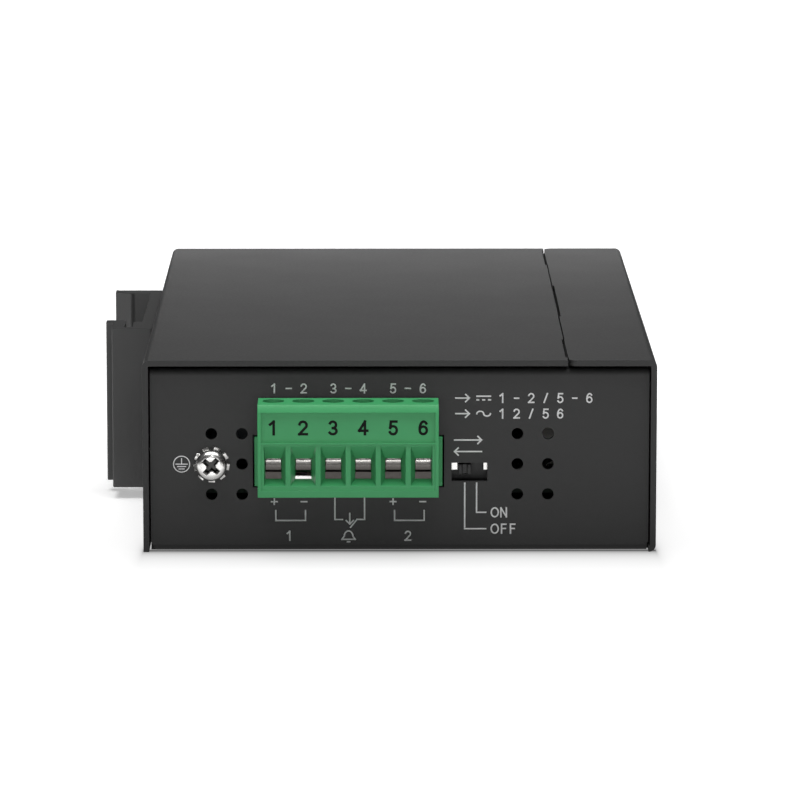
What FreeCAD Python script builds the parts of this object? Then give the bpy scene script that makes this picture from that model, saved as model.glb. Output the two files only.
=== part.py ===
import FreeCAD, Part
import math
import os

# Industrial media converter lying on its large side.
# X runs from the rail side to the port side, Y from the terminal end to the far end, Z up.
# The origin is the centre of the bottom face. All sizes are in millimetres.

# Housing
case_width = 87.7
case_depth = 135.0
case_height = 33.2
sheet = 1.0
bend_inner = 0.2
end_recess = 1.2
side_gap = 0.25
top_gap = 0.6
end_flange = 5.0
strip_width = 15.0
seam_gap = 0.2
notch_depth = 0.3
notch_start = 3.3
notch_length = 19.5
middle_notch = 37.0
tongue_reach = 6.0
tongue_gap = 0.1
tongue_margin = 0.8
strip_corner = 1.5
relief_width = 0.25
corner_cut = 0.5
corner_rise = 1.6
tab_length = 9.0
tab_height = 14.0
tab_hole_in = 5.5

# Fits and threads
fit_gap = 0.05
thread_gap = 0.02
hole_gap = 0.2
overrun = 1.0

# Small machine screws of the housing and the board
screw_d = 3.0
flat_head_d = 5.0
pan_head_d = 5.4
pan_head_h = 2.0
pan_round = 0.9
recess_w = 0.8
recess_l = 2.8
recess_depth = 0.7
cover_screw_len = 4.0
clip_screw_len = 6.0
board_screw_len = 6.0
nut_d = 6.4
nut_h = 2.0

# Vent holes of the end panels
vent_d = 2.0
vent_pitch_x = 5.22
vent_pitch_z = 5.25
vent_rise = 3.75
left_vent_web = 0.84
right_vent_web = 4.14

# Earth screw
earth_screw_len = 6.0
earth_screw_turn = 45.0
washer_h = 0.5
washer_ring_d = 4.9
washer_out_d = 6.2
washer_gap = 0.15
washer_teeth = 9
washer_tooth_w = 0.9

# Rail clip, an extrusion along Z on the rail-side wall
rail_width = 35.0
clip_inset = 2.1
clip_front = -19.0
clip_plate = 2.4
arm_out = 7.6
lip_out = 8.95
lip_end = 9.6
lip_step = 7.1
slot_web = 1.6
slot_inner = 4.0
slot_width = 1.4
slot_room = 5.8
land_end = 7.7
far_arm = 3.4
bump_rise = 0.6
tip_lead = 1.4
tip_nub = 0.7
clip_round = 0.3
clip_heel = 0.8
clip_screw_in = 8.0
clip_head_d = 5.6
clip_head_h = 1.4
spring_d = 1.0
spring_bow = 4.4
spring_margin = 2.6

# Circuit board
board_top = 11.35
board_thick = 1.6
board_side_gap = 1.8
board_end_gap = 0.8
board_port_gap = 0.8
standoff_d = 6.0
standoff_in_x = 5.0
standoff_in_port = 14.0
standoff_in_y = 9.0
board_hole_d = 3.4

# Terminal header on the board
poles = 6
pole_pitch = 5.08
plug_in = 35.1
header_end = 1.62
header_length = 12.0
header_height = 8.5
header_wall = 0.75
header_back = 1.6
header_proud = 0.6
header_cut_gap = 0.3
pin_w = 1.0
pin_z = 4.2
pin_reach = 8.1
pin_tail = 1.5
pin_below = 1.2

# Terminal plug
plug_side = 0.07
plug_drop = 0.25
plug_height = 15.8
plug_reach = 9.7
plug_stand_off = 2.0
plug_chamfer_y = 0.9
plug_chamfer_z = 1.2
frame_side = 0.6
frame_depth = 0.25
number_depth = 0.55
number_low = 9.4
number_high = 14.55
frame_low = 1.2
frame_high = 9.1
nose_side = 0.3
nose_low_gap = 0.15
nose_top_gap = 0.25
nose_reach = 8.2
mouth_half = 2.12
mouth_end_half = 1.55
mouth_low = 1.95
mouth_high = 8.75
throat_low = 2.75
throat_high = 6.2
axis_back = 4.8
well_gap = 0.15
web_thick = 1.0
web_gap = 0.15

# Clamping parts of each pole
cage_length = 3.6
cage_clear = 0.1
cage_side = 0.6
cage_floor = 1.2
cage_roof = 1.5
cage_inner = 3.9
cage_gap = 0.15
pocket_floor = 0.9
pocket_gap = 0.7
clamp_rest = (0.3, 1.0, 0.3, 0.3, 0.3, 0.3)
contact_half = 1.3
pin_top_gap = 0.35
contact_drop = 1.9
contact_bar = 1.6
contact_face_r = 3.0
contact_face_rise = 0.5
contact_plate = 0.8
contact_leaf = 0.5
contact_side = 0.4
fork_lead = 0.95
fork_short = 0.95
pin_play = 0.25
channel_gap = 0.05
clamp_screw_d = 2.6
clamp_head_d = 3.4
clamp_head_h = 1.7
clamp_slot_w = 0.6
clamp_slot_depth = 0.9

# Mode switch
switch_gap = 1.23
switch_rise = 2.35
switch_open_w = 6.1
switch_open_h = 3.2
switch_frame_w = 6.8
switch_frame_l = 3.8
switch_frame_h = 4.4
switch_wall = 0.3
switch_panel_gap = 0.3
switch_travel = 2.0
slide_shift = 0.2
ear_rise = 0.15
knob_w = 2.2
knob_h = 1.8
knob_rise = 0.4
knob_inset = 0.25
knob_root = 2.0
knob_gap = 0.12
knob_groove_w = 0.85
knob_groove_depth = 0.6

# Copper ports
jack_in = (36.5, 55.5)
jack_width = 16.0
jack_length = 21.3
jack_height = 13.4
jack_wall = 0.3
jack_mouth_w = 11.8
jack_mouth_h = 7.0
jack_mouth_low = 3.4
jack_key_w = 6.2
jack_key_h = 1.6
jack_depth = 12.5
jack_wires = 8
jack_wire_pitch = 1.02
jack_wire_w = 0.45
jack_wire_len = 8.0
jack_wire_drop = 0.9

# Fibre module ports
sfp_y = (14.0, 33.0)
sfp_width = 14.9
sfp_height = 9.8
sfp_length = 48.0
sfp_wall = 0.4
socket_length = 8.0
socket_side_gap = 0.65
socket_height = 6.2
socket_back = 1.0
socket_cheek = 0.7
socket_slot_h = 1.3
socket_slot_depth = 5.0
socket_slot_low = 3.2

# Status lights
light_count = 6
light_pitch = 3.4
light_mid_in = 16.5
light_z = 3.0
light_d = 2.0
light_reach = 2.4
light_bar = 1.6
light_proud = 0.3
led_size = 2.0
led_gap = 0.1

# Power parts: size along X, Y and Z, then place from the board's left and near edges
relay_size = (15.0, 7.6, 10.2)
relay_place = (12.5, 22.5)
transformer_size = (14.0, 13.0, 12.0)
transformer_place = (23.0, 40.5)
choke_size = (12.0, 12.0, 6.0)
choke_place = (22.0, 57.5)
rectifier_size = (4.6, 3.8, 2.4)
rectifier_places = ((26.0, 18.5), (26.0, 25.5))
capacitor_d = 8.0
capacitor_h = 13.0
capacitor_in_x = 9.0
capacitor_in_y = (36.5, 46.0, 55.5)

# Data parts: size along X, Y and Z, then place from the board's left edge and middle
chip_size = (14.0, 14.0, 1.3)
chip_place = (14.0, 24.0)
memory_size = (7.0, 5.0, 1.2)
memory_places = ((8.0, 42.0), (18.0, 42.0))
crystal_size = (11.0, 4.8, 3.4)
crystal_place = (14.0, 10.0)
sink_size = 15.0
sink_base = 2.0
sink_height = 9.0
sink_fins = 5
sink_fin = 1.0

# Rounding of the parts on the board
part_round = 0.4

# Values that follow from the sizes above
bend_outer = bend_inner + sheet
left_x = -case_width / 2
right_x = case_width / 2
near_y = -case_depth / 2
far_y = case_depth / 2
panel_y = near_y + end_recess
panel_in_y = panel_y + sheet
under_top = case_height - sheet
panel_left = left_x + sheet + side_gap
panel_right = right_x - sheet - side_gap
panel_top = under_top - top_gap
seam_x = right_x - strip_width
cover_edge = seam_x - seam_gap
tongue_top = under_top - tongue_gap
tongue_low = tongue_top - sheet
mid_z = case_height / 2
end_tongue_start = near_y + max(end_recess + end_flange, notch_start) + tongue_margin
end_tongue_stop = near_y + notch_start + notch_length - tongue_margin
middle_tongue = middle_notch / 2 - tongue_margin
bend_run = seam_gap + notch_depth - fit_gap
end_bend_start = near_y + notch_start + tongue_margin
tab_hole_y = panel_y + tab_hole_in
screw_r = screw_d / 2
thread_r = screw_r + thread_gap
clear_r = screw_r + hole_gap
board_low = board_top - board_thick
board_x0 = panel_left + board_side_gap
board_x1 = right_x - sheet - board_port_gap
board_y0 = panel_in_y + board_end_gap
board_y1 = -board_y0
board_mid_y = (board_y0 + board_y1) / 2
plug_x = left_x + plug_in
header_width = poles * pole_pitch + header_end
header_x0 = plug_x - header_width / 2
header_x1 = plug_x + header_width / 2
header_cut_x0 = header_x0 - header_cut_gap
header_cut_x1 = header_x1 + header_cut_gap
switch_x = header_x1 + switch_gap + switch_frame_w / 2
switch_z = board_top + switch_rise
vent_mid_z = board_top + vent_rise
vent_half = (vent_pitch_x + vent_d) / 2
left_vents_x = header_cut_x0 - left_vent_web - vent_half
right_vents_x = switch_x + switch_open_w / 2 + right_vent_web + vent_half
header_y0 = panel_y - header_proud
header_y1 = header_y0 + header_length
plug_width = poles * pole_pitch + 2 * plug_side
plug_low = board_top - plug_drop
plug_top = plug_low + plug_height
plug_front = panel_y - plug_reach
plug_back = panel_y - plug_stand_off
screw_axis_y = plug_front + axis_back
cage_y0 = screw_axis_y - cage_length / 2
cage_y1 = screw_axis_y + cage_length / 2
throat_half = contact_half + channel_gap
pin_level = board_top + pin_z
contact_top = pin_level + pin_w / 2 + pin_top_gap + contact_plate
contact_z = contact_top - contact_drop
cage_half = contact_half + cage_clear + cage_side
pocket_top = contact_z + cage_inner + cage_roof + pocket_gap
well_low = pocket_top + web_thick
pole_x = [plug_x + pole_pitch * (n - (poles - 1) / 2) for n in range(poles)]


def block(x0, x1, y0, y1, z0, z1):
    return Part.makeBox(x1 - x0, y1 - y0, z1 - z0, FreeCAD.Vector(x0, y0, z0))


def rod(base, axis, radius, length):
    return Part.makeCylinder(radius, length, FreeCAD.Vector(*base), FreeCAD.Vector(*axis))


def outline(corners):
    # A closed flat outline in the XY plane; each corner carries its own rounding radius.
    count = len(corners)
    starts = []
    ends = []
    arcs = []
    for i in range(count):
        before = FreeCAD.Vector(corners[i - 1][0], corners[i - 1][1], 0)
        here = FreeCAD.Vector(corners[i][0], corners[i][1], 0)
        after = FreeCAD.Vector(corners[(i + 1) % count][0], corners[(i + 1) % count][1], 0)
        radius = corners[i][2]
        to_before = (before - here).normalize()
        to_after = (after - here).normalize()
        if radius == 0:
            starts.append(here)
            ends.append(here)
            arcs.append(None)
            continue
        half = to_before.getAngle(to_after) / 2
        reach = radius / math.tan(half)
        bisector = (to_before + to_after).normalize()
        centre = here + bisector * (radius / math.sin(half))
        start = here + to_before * reach
        end = here + to_after * reach
        starts.append(start)
        ends.append(end)
        arcs.append(Part.Arc(start, centre - bisector * radius, end).toShape())
    edges = []
    for i in range(count):
        if arcs[i]:
            edges.append(arcs[i])
        following = (i + 1) % count
        if ends[i].distanceToPoint(starts[following]) > 1e-6:
            edges.append(Part.LineSegment(ends[i], starts[following]).toShape())
    return Part.Face(Part.Wire(edges))


def prism_z(corners, z0, z1):
    shape = outline(corners).extrude(FreeCAD.Vector(0, 0, z1 - z0))
    shape.translate(FreeCAD.Vector(0, 0, z0))
    return shape


def prism_y(corners, y0, y1):
    # Corners are given as X and Z.
    shape = outline(corners).extrude(FreeCAD.Vector(0, 0, y0 - y1))
    shape.rotate(FreeCAD.Vector(0, 0, 0), FreeCAD.Vector(1, 0, 0), 90)
    shape.translate(FreeCAD.Vector(0, y0, 0))
    return shape


def prism_x(corners, x0, x1):
    # Corners are given as Y and Z.
    shape = outline(corners).extrude(FreeCAD.Vector(0, 0, x1 - x0))
    shape.Placement = FreeCAD.Placement(
        FreeCAD.Vector(x0, 0, 0),
        FreeCAD.Rotation(FreeCAD.Vector(0, 1, 0), FreeCAD.Vector(0, 0, 1), FreeCAD.Vector(1, 0, 0)))
    return shape


def lathe(corners):
    # Turns an outline of radius and height about the Z axis.
    face = outline(corners)
    face.rotate(FreeCAD.Vector(0, 0, 0), FreeCAD.Vector(1, 0, 0), 90)
    return face.revolve(FreeCAD.Vector(0, 0, 0), FreeCAD.Vector(0, 0, 1), 360)


def turned(shape, axis, place, spin=0):
    # Moves a piece made along +Z so that it points along the given axis; spin turns it about itself first.
    copy = shape.copy()
    about_itself = FreeCAD.Rotation(FreeCAD.Vector(0, 0, 1), spin)
    lean = FreeCAD.Rotation(FreeCAD.Vector(0, 0, 1), FreeCAD.Vector(*axis))
    copy.Placement = FreeCAD.Placement(FreeCAD.Vector(*place), lean * about_itself)
    return copy


def mirrored(shape):
    # The same piece at the far end of the housing.
    return shape.mirror(FreeCAD.Vector(0, 0, 0), FreeCAD.Vector(0, 1, 0))


def joined(first, *others):
    return first.fuse(list(others)).removeSplitter()


def without(shape, *tools):
    return shape.cut(list(tools))


def cross_recess(z):
    half_l = recess_l / 2
    half_w = recess_w / 2
    top = z + recess_depth + overrun
    along = block(-half_l, half_l, -half_w, half_w, z, top)
    across = block(-half_w, half_w, -half_l, half_l, z, top)
    return along.fuse(across)


def pan_screw(length):
    # The head stands on Z = 0 and the shank goes down.
    head_r = pan_head_d / 2
    head = lathe([(0, 0, 0), (head_r, 0, 0), (head_r, pan_head_h, pan_round), (0, pan_head_h, 0)])
    shank = rod((0, 0, -length), (0, 0, 1), screw_r, length)
    return without(joined(head, shank), cross_recess(pan_head_h - recess_depth))


def flat_screw(head_d, head_h, length):
    # The head's flat face is at Z = 0 and the shank goes down.
    head = Part.makeCone(screw_r, head_d / 2, head_h, FreeCAD.Vector(0, 0, -head_h))
    shank = rod((0, 0, -length), (0, 0, 1), screw_r, length)
    return without(joined(head, shank), cross_recess(-recess_depth))


def sink_hole(head_d, head_h):
    # The hole that a flat screw's head lies in, a little larger than the head.
    return Part.makeCone(screw_r + fit_gap, head_d / 2 + fit_gap, head_h, FreeCAD.Vector(0, 0, -head_h))


def ring(outer_r, inner_r, height):
    return without(rod((0, 0, 0), (0, 0, 1), outer_r, height), rod((0, 0, 0), (0, 0, 1), inner_r, height))


def chip(size, place, from_y):
    x = board_x0 + place[0]
    y = from_y + place[1]
    half_x = size[0] / 2
    half_y = size[1] / 2
    return prism_z([(x - half_x, y - half_y, part_round), (x + half_x, y - half_y, part_round),
                    (x + half_x, y + half_y, part_round), (x - half_x, y + half_y, part_round)],
                   board_top, board_top + size[2])


def vents(mid_x):
    holes = []
    for column in (-0.5, 0.5):
        for row in (-1, 0, 1):
            x = mid_x + column * vent_pitch_x
            z = vent_mid_z + row * vent_pitch_z
            holes.append(((x, z), rod((x, near_y, z), (0, 1, 0), vent_d / 2, end_recess + sheet + overrun)))
    return holes


os.makedirs("parts", exist_ok=True)


def save(name, *shapes):
    whole = shapes[0] if len(shapes) == 1 else Part.makeCompound(list(shapes))
    whole.exportStep("parts/" + name + ".step")


# Base chassis: bottom, port wall and top strip in one wrap; the two end panels fold up from the bottom.
wrap = prism_y([(panel_left, 0, 0), (right_x, 0, bend_outer), (right_x, case_height, bend_outer),
                (seam_x, case_height, 0), (seam_x, under_top, 0), (right_x - sheet, under_top, bend_inner),
                (right_x - sheet, sheet, bend_inner), (panel_left, sheet, 0)], near_y, far_y)
edge_margin = block(panel_left - overrun, panel_right, near_y - overrun, panel_y + bend_outer,
                    -overrun, sheet + bend_inner)
wrap = without(wrap, edge_margin, mirrored(edge_margin))

panel_foot = panel_y + bend_outer + sheet
end_panel = prism_x([(panel_foot, 0, 0), (panel_y, 0, bend_outer), (panel_y, panel_top, bend_outer),
                     (panel_y + end_flange, panel_top, 0), (panel_y + end_flange, panel_top - sheet, 0),
                     (panel_in_y, panel_top - sheet, bend_inner), (panel_in_y, sheet, bend_inner),
                     (panel_foot, sheet, 0)], panel_left, panel_right)
tab = block(panel_left, panel_left + sheet, panel_y, panel_y + tab_length,
            mid_z - tab_height / 2, mid_z + tab_height / 2)
tab_hole = rod((panel_left - overrun, tab_hole_y, mid_z), (1, 0, 0), thread_r, sheet + 2 * overrun)
relief = block(panel_right - relief_width, panel_right, panel_y - overrun, panel_foot,
               -overrun, bend_outer + relief_width)
beyond_left = panel_left - overrun
left_corner = prism_y([(beyond_left, -overrun, 0), (panel_left + corner_cut + overrun, -overrun, 0),
                       (panel_left, corner_rise, 0), (beyond_left, corner_rise, 0)],
                      panel_y - overrun, panel_foot)
plain_panel = without(joined(end_panel, tab), tab_hole, left_corner)
all_vents = vents(left_vents_x) + vents(right_vents_x)
far_panel = mirrored(without(plain_panel, *[hole for _, hole in all_vents]))

# The terminal end has the same vents; the earth screw takes the place of one of them.
earth_x = left_vents_x - vent_pitch_x / 2
near_cuts = [rod((earth_x, near_y, vent_mid_z), (0, 1, 0), clear_r, end_recess + sheet + overrun)]
for place, hole in all_vents:
    if abs(place[0] - earth_x) > vent_d or abs(place[1] - vent_mid_z) > vent_d:
        near_cuts.append(hole)
near_cuts.append(block(header_cut_x0, header_cut_x1, near_y, panel_in_y + overrun,
                       board_top - header_cut_gap, board_top + header_height + header_cut_gap))
near_cuts.append(block(switch_x - switch_open_w / 2, switch_x + switch_open_w / 2,
                       near_y, panel_in_y + overrun,
                       switch_z - switch_open_h / 2, switch_z + switch_open_h / 2))
near_panel = without(plain_panel, *near_cuts)

# Two tongues of the strip go under the cover, and one tongue of the cover goes under the strip.
# Each slopes down from its sheet through a notch in the other sheet's edge.
strip_tongue = joined(
    block(seam_x - tongue_reach, seam_x + sheet, end_tongue_start, end_tongue_stop, tongue_low, tongue_top),
    block(seam_x, seam_x + sheet, end_tongue_start, end_tongue_stop, tongue_low, case_height),
    prism_y([(seam_x, case_height, 0), (seam_x, tongue_top, 0), (seam_x - bend_run, tongue_top, 0)],
            end_bend_start, end_tongue_stop))
chassis = joined(wrap, near_panel, far_panel, strip_tongue, mirrored(strip_tongue))

strip_notch = block(seam_x - overrun, seam_x + notch_depth, -middle_notch / 2, middle_notch / 2,
                    under_top, case_height)
round_corner = without(
    block(seam_x, seam_x + strip_corner, near_y, near_y + strip_corner, under_top, case_height),
    rod((seam_x + strip_corner, near_y + strip_corner, under_top), (0, 0, 1), strip_corner, sheet))
port_cuts = []
jack_y = [near_y + place for place in jack_in]
for y in jack_y:
    port_cuts.append(block(right_x - sheet - overrun, right_x + overrun,
                           y - jack_width / 2 - hole_gap, y + jack_width / 2 + hole_gap,
                           board_top - hole_gap, board_top + jack_height + hole_gap))
for y in sfp_y:
    port_cuts.append(block(right_x - sheet - overrun, right_x + overrun,
                           y - sfp_width / 2 - hole_gap, y + sfp_width / 2 + hole_gap,
                           board_top - hole_gap, board_top + sfp_height + hole_gap))
light_mid_y = near_y + light_mid_in
light_ys = [light_mid_y + light_pitch * (n - (light_count - 1) / 2) for n in range(light_count)]
for y in light_ys:
    port_cuts.append(rod((right_x - sheet - overrun, y, board_top + light_z), (1, 0, 0),
                         light_d / 2 + hole_gap, sheet + 2 * overrun))
chassis = without(chassis, relief, mirrored(relief), strip_notch, round_corner, mirrored(round_corner),
                  *port_cuts)
save("base_chassis", chassis)

# Rear cover: the wide top and the rail-side wall.
cover = prism_y([(left_x, 0, 0), (left_x, case_height, bend_outer), (cover_edge, case_height, 0),
                 (cover_edge, under_top, 0), (left_x + sheet, under_top, bend_inner),
                 (left_x + sheet, 0, 0)], near_y, far_y)
cover_notch = block(cover_edge - notch_depth, cover_edge + overrun, near_y + notch_start,
                    near_y + notch_start + notch_length, under_top - overrun, case_height + overrun)
cover_tongue = joined(
    block(cover_edge - sheet, seam_x + tongue_reach, -middle_tongue, middle_tongue, tongue_low, tongue_top),
    block(cover_edge - sheet, cover_edge, -middle_tongue, middle_tongue, tongue_low, case_height),
    prism_y([(cover_edge, case_height, 0), (cover_edge + bend_run, tongue_top, 0),
             (cover_edge, tongue_top, 0)], -middle_tongue, middle_tongue))
clip_y0 = clip_front
clip_slot_y = clip_y0 + slot_web
clip_seat_y = clip_slot_y + slot_room + rail_width
clip_land_y = clip_y0 + land_end
clip_screw_ys = (clip_land_y + clip_screw_in, clip_seat_y - clip_screw_in)
inward = (-1, 0, 0)
wall_cuts = []
for y in (tab_hole_y, -tab_hole_y):
    wall_cuts.append(turned(sink_hole(flat_head_d, sheet), inward, (left_x, y, mid_z)))
for y in clip_screw_ys:
    wall_cuts.append(rod((left_x - overrun, y, mid_z), (1, 0, 0), clear_r, sheet + 2 * overrun))
cover = without(joined(cover, cover_tongue), cover_notch, mirrored(cover_notch), *wall_cuts)
save("rear_cover", cover)

cover_screw = flat_screw(flat_head_d, sheet, cover_screw_len)
save("cover_screws", *[turned(cover_screw, inward, (left_x, y, mid_z)) for y in (tab_hole_y, -tab_hole_y)])

# Rail clip: the rail's near edge goes into the slot against the spring, the far edge snaps behind the bump.
slot_outer = slot_inner + slot_width
clip_back = clip_seat_y + far_arm
tip_out = lip_out + fit_gap
clip_path = [(0, clip_y0, clip_heel), (arm_out, clip_y0, clip_round),
             (arm_out, clip_y0 + lip_step, clip_round),
             (lip_out, clip_y0 + lip_step, clip_round), (lip_out, clip_y0 + lip_end, clip_round),
             (slot_outer, clip_y0 + lip_end, clip_round), (slot_outer, clip_slot_y, clip_round),
             (slot_inner, clip_slot_y, clip_round), (slot_inner, clip_land_y, clip_round),
             (clip_plate, clip_land_y, clip_round), (clip_plate, clip_seat_y, clip_round),
             (slot_outer, clip_seat_y, clip_round),
             (slot_outer + bump_rise, clip_seat_y - bump_rise, clip_round),
             (tip_out, clip_seat_y + tip_lead, clip_round), (tip_out, clip_back + tip_nub, clip_round),
             (tip_out - tip_nub, clip_back, clip_round), (0, clip_back, clip_heel)]
clip = prism_z([(left_x - out, y, radius) for out, y, radius in clip_path],
               clip_inset, case_height - clip_inset)
clip_face = left_x - clip_plate
clip_cuts = []
for y in clip_screw_ys:
    clip_cuts.append(rod((clip_face - overrun, y, mid_z), (1, 0, 0), clear_r, clip_plate + 2 * overrun))
    clip_cuts.append(turned(sink_hole(clip_head_d, clip_head_h), inward, (clip_face, y, mid_z)))
save("din_clip", without(clip, *clip_cuts))

clip_screw = flat_screw(clip_head_d, clip_head_h, clip_screw_len)
save("clip_screws", *[turned(clip_screw, inward, (clip_face, y, mid_z)) for y in clip_screw_ys])
nut = ring(nut_d / 2, thread_r, nut_h)
save("clip_nuts", *[turned(nut, (1, 0, 0), (left_x + sheet, y, mid_z)) for y in clip_screw_ys])

# The spring is a bowed wire whose two ends stand on the slot's floor.
spring_half = mid_z - clip_inset - spring_margin
spring_r = spring_d / 2
arc_r = (spring_half ** 2 + spring_bow ** 2) / (2 * spring_bow)
arc_half = math.degrees(math.asin(spring_half / arc_r))
spring_x = left_x - slot_inner - slot_width / 2
foot_rise = spring_r * math.cos(math.radians(arc_half)) + fit_gap
arc_y = clip_slot_y + foot_rise + spring_bow - arc_r
arc_centre = FreeCAD.Vector(spring_x, arc_y, mid_z)
arc_axis = FreeCAD.Vector(1, 0, 0)
wire_face = Part.Face(Part.Wire(Part.makeCircle(
    spring_r, FreeCAD.Vector(spring_x, arc_y + arc_r, mid_z), FreeCAD.Vector(0, 0, 1))))
wire_face.rotate(arc_centre, arc_axis, -arc_half)
save("rail_spring", wire_face.revolve(arc_centre, arc_axis, 2 * arc_half))

# Earth point: a toothed washer under a pan screw, held by a nut behind the panel.
earth_at = (earth_x, panel_y - washer_h, vent_mid_z)
outward = (0, -1, 0)
save("earth_screw", turned(pan_screw(earth_screw_len), outward, earth_at, earth_screw_turn))
washer = rod((0, 0, 0), (0, 0, 1), washer_ring_d / 2, washer_h)
teeth = []
for n in range(washer_teeth):
    tooth = block(0, washer_out_d / 2, -washer_tooth_w / 2, washer_tooth_w / 2, 0, washer_h)
    tooth.rotate(FreeCAD.Vector(0, 0, 0), FreeCAD.Vector(0, 0, 1), 360 * n / washer_teeth)
    teeth.append(tooth)
washer = without(joined(washer, *teeth), rod((0, 0, 0), (0, 0, 1), screw_r + washer_gap, washer_h))
save("earth_washer", turned(washer, outward, (earth_x, panel_y, vent_mid_z)))
save("earth_nut", turned(nut, (0, 1, 0), (earth_x, panel_in_y, vent_mid_z)))

# Circuit board on four standoffs.
standoff_places = [(x, y) for x in (board_x0 + standoff_in_x, board_x1 - standoff_in_port)
                   for y in (board_y0 + standoff_in_y, board_y1 - standoff_in_y)]
pin_corner = math.hypot(pin_w / 2, pin_w / 2)
tail_y = header_y1 + pin_tail - pin_w / 2
board_cuts = []
cut_low = board_low - overrun
cut_tall = board_thick + 2 * overrun
for x, y in standoff_places:
    board_cuts.append(rod((x, y, cut_low), (0, 0, 1), board_hole_d / 2, cut_tall))
for x in pole_x:
    board_cuts.append(rod((x, tail_y, cut_low), (0, 0, 1), pin_corner + fit_gap, cut_tall))
board = without(block(board_x0, board_x1, board_y0, board_y1, board_low, board_top), *board_cuts)
save("main_board", board)
standoff = ring(standoff_d / 2, thread_r, board_low - sheet)
save("board_standoffs", *[turned(standoff, (0, 0, 1), (x, y, sheet)) for x, y in standoff_places])
board_screw = pan_screw(board_screw_len)
save("board_screws", *[turned(board_screw, (0, 0, 1), (x, y, board_top)) for x, y in standoff_places])

# Terminal header with its bent pins.
header_top = board_top + header_height
header_cuts = [block(header_x0 + header_wall, header_x1 - header_wall,
                     header_y0 - overrun, header_y1 - header_back,
                     board_top + header_wall, header_top - header_wall)]
pins = []
for x in pole_x:
    half = pin_w / 2
    hole = half + thread_gap
    header_cuts.append(block(x - hole, x + hole, header_y1 - header_back - overrun, header_y1 + overrun,
                             pin_level - hole, pin_level + hole))
    straight = block(x - half, x + half, header_y1 - pin_reach, tail_y + half,
                     pin_level - half, pin_level + half)
    down = block(x - half, x + half, tail_y - half, tail_y + half, board_low - pin_below, pin_level + half)
    pins.append(joined(straight, down))
header = block(header_x0, header_x1, header_y0, header_y1, board_top, header_top)
save("terminal_header", without(header, *header_cuts))
save("header_pins", *pins)

# Terminal plug: wires go in at the front, clamping screws are reached from the top.
plug_x0 = plug_x - plug_width / 2
plug_x1 = plug_x + plug_width / 2
chamfer_z = plug_top - plug_chamfer_z
body = prism_x([(plug_front, plug_low, 0), (plug_front, chamfer_z, 0),
                (plug_front + plug_chamfer_y, plug_top, 0), (plug_back, plug_top, 0),
                (plug_back, plug_low, 0)], plug_x0, plug_x1)
nose_y = header_y0 + nose_reach
nose = block(header_x0 + header_wall + nose_side, header_x1 - header_wall - nose_side,
             plug_back, nose_y, board_top + header_wall + nose_low_gap,
             header_top - header_wall - nose_top_gap)
plug_cuts = [block(plug_x0 + frame_side, plug_x1 - frame_side,
                   plug_front - overrun, plug_front + number_depth,
                   plug_low + number_low, plug_low + number_high),
             block(plug_x0 + frame_side, plug_x1 - frame_side,
                   plug_front - overrun, plug_front + frame_depth,
                   plug_low + frame_low, plug_low + frame_high)]
pocket_y0 = cage_y0 - cage_gap
pocket_y1 = cage_y1 + cage_gap
pocket_half = cage_half + cage_gap
channel_low = pin_level - pin_w / 2 - pin_play - contact_leaf - channel_gap
for n in range(poles):
    x = pole_x[n]
    left_half = mouth_end_half if n == 0 else mouth_half
    right_half = mouth_end_half if n == poles - 1 else mouth_half
    mouth_y = plug_front + frame_depth
    mouth = Part.makePolygon([
        FreeCAD.Vector(x - left_half, mouth_y, plug_low + mouth_low),
        FreeCAD.Vector(x + right_half, mouth_y, plug_low + mouth_low),
        FreeCAD.Vector(x + right_half, mouth_y, plug_low + mouth_high),
        FreeCAD.Vector(x - left_half, mouth_y, plug_low + mouth_high),
        FreeCAD.Vector(x - left_half, mouth_y, plug_low + mouth_low)])
    throat = Part.makePolygon([
        FreeCAD.Vector(x - throat_half, pocket_y0, plug_low + throat_low),
        FreeCAD.Vector(x + throat_half, pocket_y0, plug_low + throat_low),
        FreeCAD.Vector(x + throat_half, pocket_y0, plug_low + throat_high),
        FreeCAD.Vector(x - throat_half, pocket_y0, plug_low + throat_high),
        FreeCAD.Vector(x - throat_half, pocket_y0, plug_low + throat_low)])
    plug_cuts.append(Part.makeLoft([mouth, throat], True, True))
    plug_cuts.append(block(x - pocket_half, x + pocket_half, pocket_y0, pocket_y1,
                           plug_low + pocket_floor, pocket_top))
    plug_cuts.append(rod((x, screw_axis_y, well_low), (0, 0, 1), clamp_head_d / 2 + well_gap, plug_height))
    plug_cuts.append(rod((x, screw_axis_y, pocket_top - overrun), (0, 0, 1),
                         clamp_screw_d / 2 + web_gap, plug_height))
    plug_cuts.append(block(x - throat_half, x + throat_half, pocket_y1 - overrun, nose_y + overrun,
                           channel_low, contact_top + channel_gap))
save("terminal_plug", without(joined(body, nose), *plug_cuts))

# Contacts of the plug: a bar with a curved face under the screw, and a spring fork round the header's pin.
contacts = []
for x in pole_x:
    front = cage_y0 + fit_gap
    bar = block(x - contact_half, x + contact_half, front, front + contact_bar, contact_z, contact_top)
    face = rod((x - contact_half, front + contact_face_r, contact_z + contact_face_rise), (1, 0, 0),
               contact_face_r, 2 * contact_half)
    fork_y0 = header_y1 - pin_reach - fork_lead
    fork_y1 = nose_y - fork_short
    plate = block(x - contact_half, x + contact_half, front + contact_bar / 2, fork_y1,
                  contact_top - contact_plate, contact_top)
    leaf_top = pin_level - pin_w / 2 - pin_play
    leaf_low = leaf_top - contact_leaf
    leaf = block(x - contact_half, x + contact_half, fork_y0, fork_y1, leaf_low, leaf_top)
    side = block(x + contact_half - contact_side, x + contact_half, fork_y0, fork_y1, leaf_low, contact_top)
    contacts.append(joined(plate, bar.common(face), leaf, side))
save("plug_contacts", *contacts)

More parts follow.
